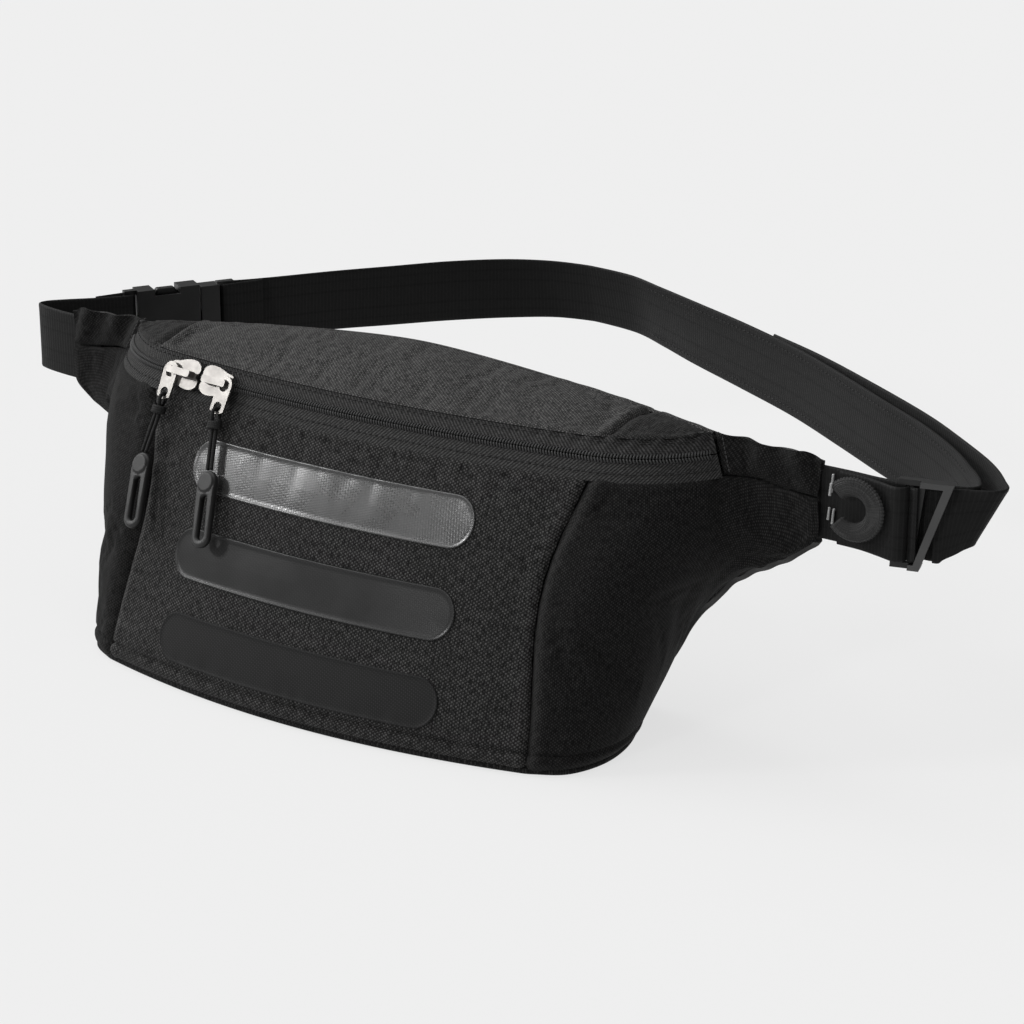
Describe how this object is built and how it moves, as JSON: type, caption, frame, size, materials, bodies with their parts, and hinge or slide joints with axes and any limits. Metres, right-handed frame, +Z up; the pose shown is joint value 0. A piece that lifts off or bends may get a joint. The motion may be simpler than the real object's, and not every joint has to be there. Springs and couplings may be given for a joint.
{
  "type": "belt bag",
  "caption": "Wedge-shaped padded belt bag with a curved zip, side wings and an adjustable webbing belt with a side-release buckle.",
  "frame": {"origin": "on the floor, under the middle of the body, 60 mm behind the front bottom seam", "axes": "+X to the right seen from the front (the wearer's left), +Y back towards the wearer, +Z up"},
  "size_m": [0.5076, 0.3216, 0.149],
  "materials": {
    "canvas": "coarse ribbed polyester, matt",
    "coated": "smooth coated film, glossy to satin",
    "mesh": "spacer mesh, matt",
    "lining": "plain woven lining",
    "webbing": "flat woven webbing, ribbed",
    "zip_tape": "herringbone woven tape",
    "zip_coil": "nylon coil",
    "nickel": "satin nickel plate",
    "cord": "round braided cord",
    "rubber": "moulded soft rubber, satin",
    "plastic": "moulded acetal, satin"
  },
  "bodies": {
    "bag": {"front_panel": "canvas", "side_panel_right": "canvas", "side_panel_left": "canvas", "wing_top_right": "canvas", "wing_top_left": "canvas", "bottom_panel": "canvas", "back_panel": "mesh", "lining": "lining", "patch_upper": "coated", "patch_middle": "coated", "patch_lower": "coated", "zip_tape_lower": "zip_tape", "zip_chain_lower": "zip_coil", "wing_webbing_left": "webbing", "wing_webbing_right": "webbing", "buckle_female": "plastic", "ribbon_loop": "webbing"},
    "lid": {"top_panel": "canvas", "top_end_right": "canvas", "top_end_left": "canvas", "zip_tape_upper": "zip_tape", "zip_chain_upper": "zip_coil"},
    "slider_right": {"slider_right": "nickel"},
    "slider_left": {"slider_left": "nickel"},
    "tab_right": {"pull_tab_right": "nickel"},
    "tab_left": {"pull_tab_left": "nickel"},
    "pull_right": {"pull_cord_right": "cord", "pull_grip_right": "rubber"},
    "pull_left": {"pull_cord_left": "cord", "pull_grip_left": "rubber"},
    "belt_right_half": {"adjuster": "plastic", "belt_right": "webbing", "belt_tail": "webbing"},
    "belt_left_half": {"belt_left": "webbing", "buckle_male": "plastic"},
    "arm_upper": {"buckle_arm_upper": "plastic"},
    "arm_lower": {"buckle_arm_lower": "plastic"}
  },
  "joints": [
    {"name": "slider_right_run", "type": "hinge", "parent": "bag", "child": "slider_right", "pos_m": [0, 0.659, 0.127], "axis": [0, 0, 1], "range_deg": [0, 15.4]},
    {"name": "slider_left_run", "type": "hinge", "parent": "bag", "child": "slider_left", "pos_m": [0, 0.659, 0.127], "axis": [0, 0, 1], "range_deg": [-0.9, 0]},
    {"name": "lid_open", "type": "hinge", "parent": "bag", "child": "lid", "pos_m": [0, 0.046, 0.142], "axis": [-1, 0, 0], "range_deg": [0, 70]},
    {"name": "tab_right_swivel", "type": "hinge", "parent": "slider_right", "child": "tab_right", "pos_m": [-0.06879, -0.00924, 0.12941], "axis": [-0.1015, -0.8852, 0.454], "range_deg": [0, 100]},
    {"name": "tab_left_swivel", "type": "hinge", "parent": "slider_left", "child": "tab_left", "pos_m": [-0.10299, -0.00483, 0.12941], "axis": [0.1264, 0.882, -0.454], "range_deg": [0, 100]},
    {"name": "pull_right_lift", "type": "hinge", "parent": "tab_right", "child": "pull_right", "pos_m": [-0.06968, -0.01526, 0.11747], "axis": [-0.9935, 0.1139, 0], "range_deg": [0, 100]},
    {"name": "pull_left_lift", "type": "hinge", "parent": "tab_left", "child": "pull_left", "pos_m": [-0.10366, -0.01088, 0.11747], "axis": [-0.9899, 0.1418, 0], "range_deg": [0, 100]},
    {"name": "belt_swing", "type": "hinge", "parent": "bag", "child": "belt_right_half", "pos_m": [0.238, 0.038, 0.112], "axis": [0, 0, -1], "range_deg": [0, 70]},
    {"name": "belt_flex", "type": "hinge", "parent": "belt_right_half", "child": "belt_left_half", "pos_m": [-0.045, 0.254, 0.112], "axis": [0, 0, -1], "range_deg": [-58.2, 0]},
    {"name": "arm_upper_squeeze", "type": "hinge", "parent": "belt_left_half", "child": "arm_upper", "pos_m": [-0.18552, 0.11522, 0.1208], "axis": [-0.8484, 0.5293, 0], "range_deg": [-8, 0]},
    {"name": "arm_lower_squeeze", "type": "hinge", "parent": "belt_left_half", "child": "arm_lower", "pos_m": [-0.18552, 0.11522, 0.1032], "axis": [-0.8484, 0.5293, 0], "range_deg": [0, 8]}
  ],
  "couplings": [
    {"joint": "belt_flex", "follows": "belt_swing", "ratio": -0.83},
    {"joint": "arm_lower_squeeze", "follows": "arm_upper_squeeze", "ratio": -1}
  ]
}
